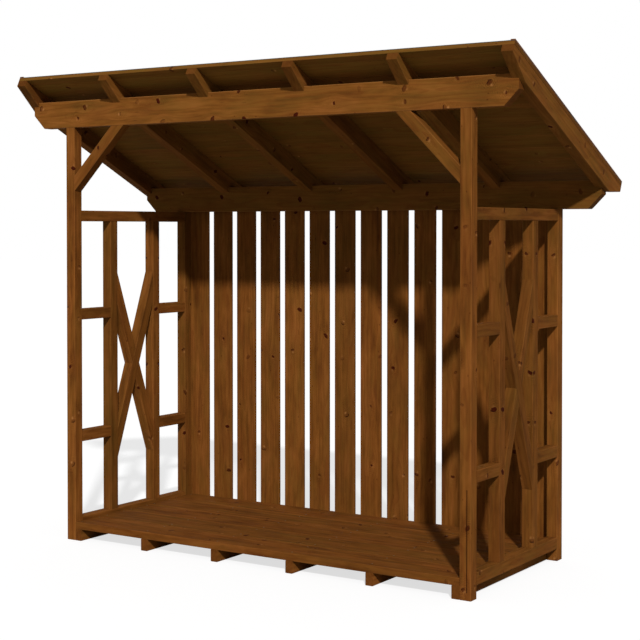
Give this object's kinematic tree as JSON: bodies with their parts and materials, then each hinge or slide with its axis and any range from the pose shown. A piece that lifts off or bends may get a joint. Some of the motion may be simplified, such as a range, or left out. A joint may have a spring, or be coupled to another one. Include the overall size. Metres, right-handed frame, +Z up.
{
  "type": "log store",
  "caption": "Open-fronted timber log store with slatted back, braced open sides, raised board floor and a boarded roof that falls to the rear.",
  "frame": {"origin": "bottom centre of the whole store's box, at ground level", "axes": "+X along the open front towards the right side, +Y from the open front to the slatted back, +Z up"},
  "size_m": [2.526, 1.0956, 2.1456],
  "materials": {
    "stained_timber": "dark brown penetrating stain on planed softwood",
    "stained_boards": "dark brown penetrating stain on planed softwood boards",
    "roofing_felt": "mineral-surfaced bitumen felt"
  },
  "bodies": {
    "root": {"bearer_1": "stained_timber", "bearer_2": "stained_timber", "bearer_3": "stained_timber", "bearer_4": "stained_timber", "bearer_5": "stained_timber", "bearer_6": "stained_timber", "cross_brace_front_rising_left": "stained_timber", "cross_brace_front_rising_right": "stained_timber", "cross_brace_rear_rising_left": "stained_timber", "cross_brace_rear_rising_right": "stained_timber", "floor_boards": "stained_boards", "knee_brace_left": "stained_timber", "knee_brace_right": "stained_timber", "post_front_left": "stained_timber", "post_front_right": "stained_timber", "post_rear_left": "stained_timber", "post_rear_right": "stained_timber", "purlin_front": "stained_timber", "purlin_rear": "stained_timber", "rafter_1": "stained_timber", "rafter_2": "stained_timber", "rafter_3": "stained_timber", "rafter_4": "stained_timber", "rafter_5": "stained_timber", "rafter_6": "stained_timber", "rake_strip_left": "stained_boards", "rake_strip_right": "stained_boards", "rear_slats": "stained_boards", "roof_boards": "stained_boards", "roof_covering": "roofing_felt", "side_noggins_left": "stained_timber", "side_noggins_right": "stained_timber", "side_sill_left": "stained_timber", "side_sill_right": "stained_timber", "side_stud_front_left": "stained_timber", "side_stud_front_right": "stained_timber", "side_stud_rear_left": "stained_timber", "side_stud_rear_right": "stained_timber", "side_top_rail_left": "stained_timber", "side_top_rail_right": "stained_timber"}
  },
  "joints": []
}
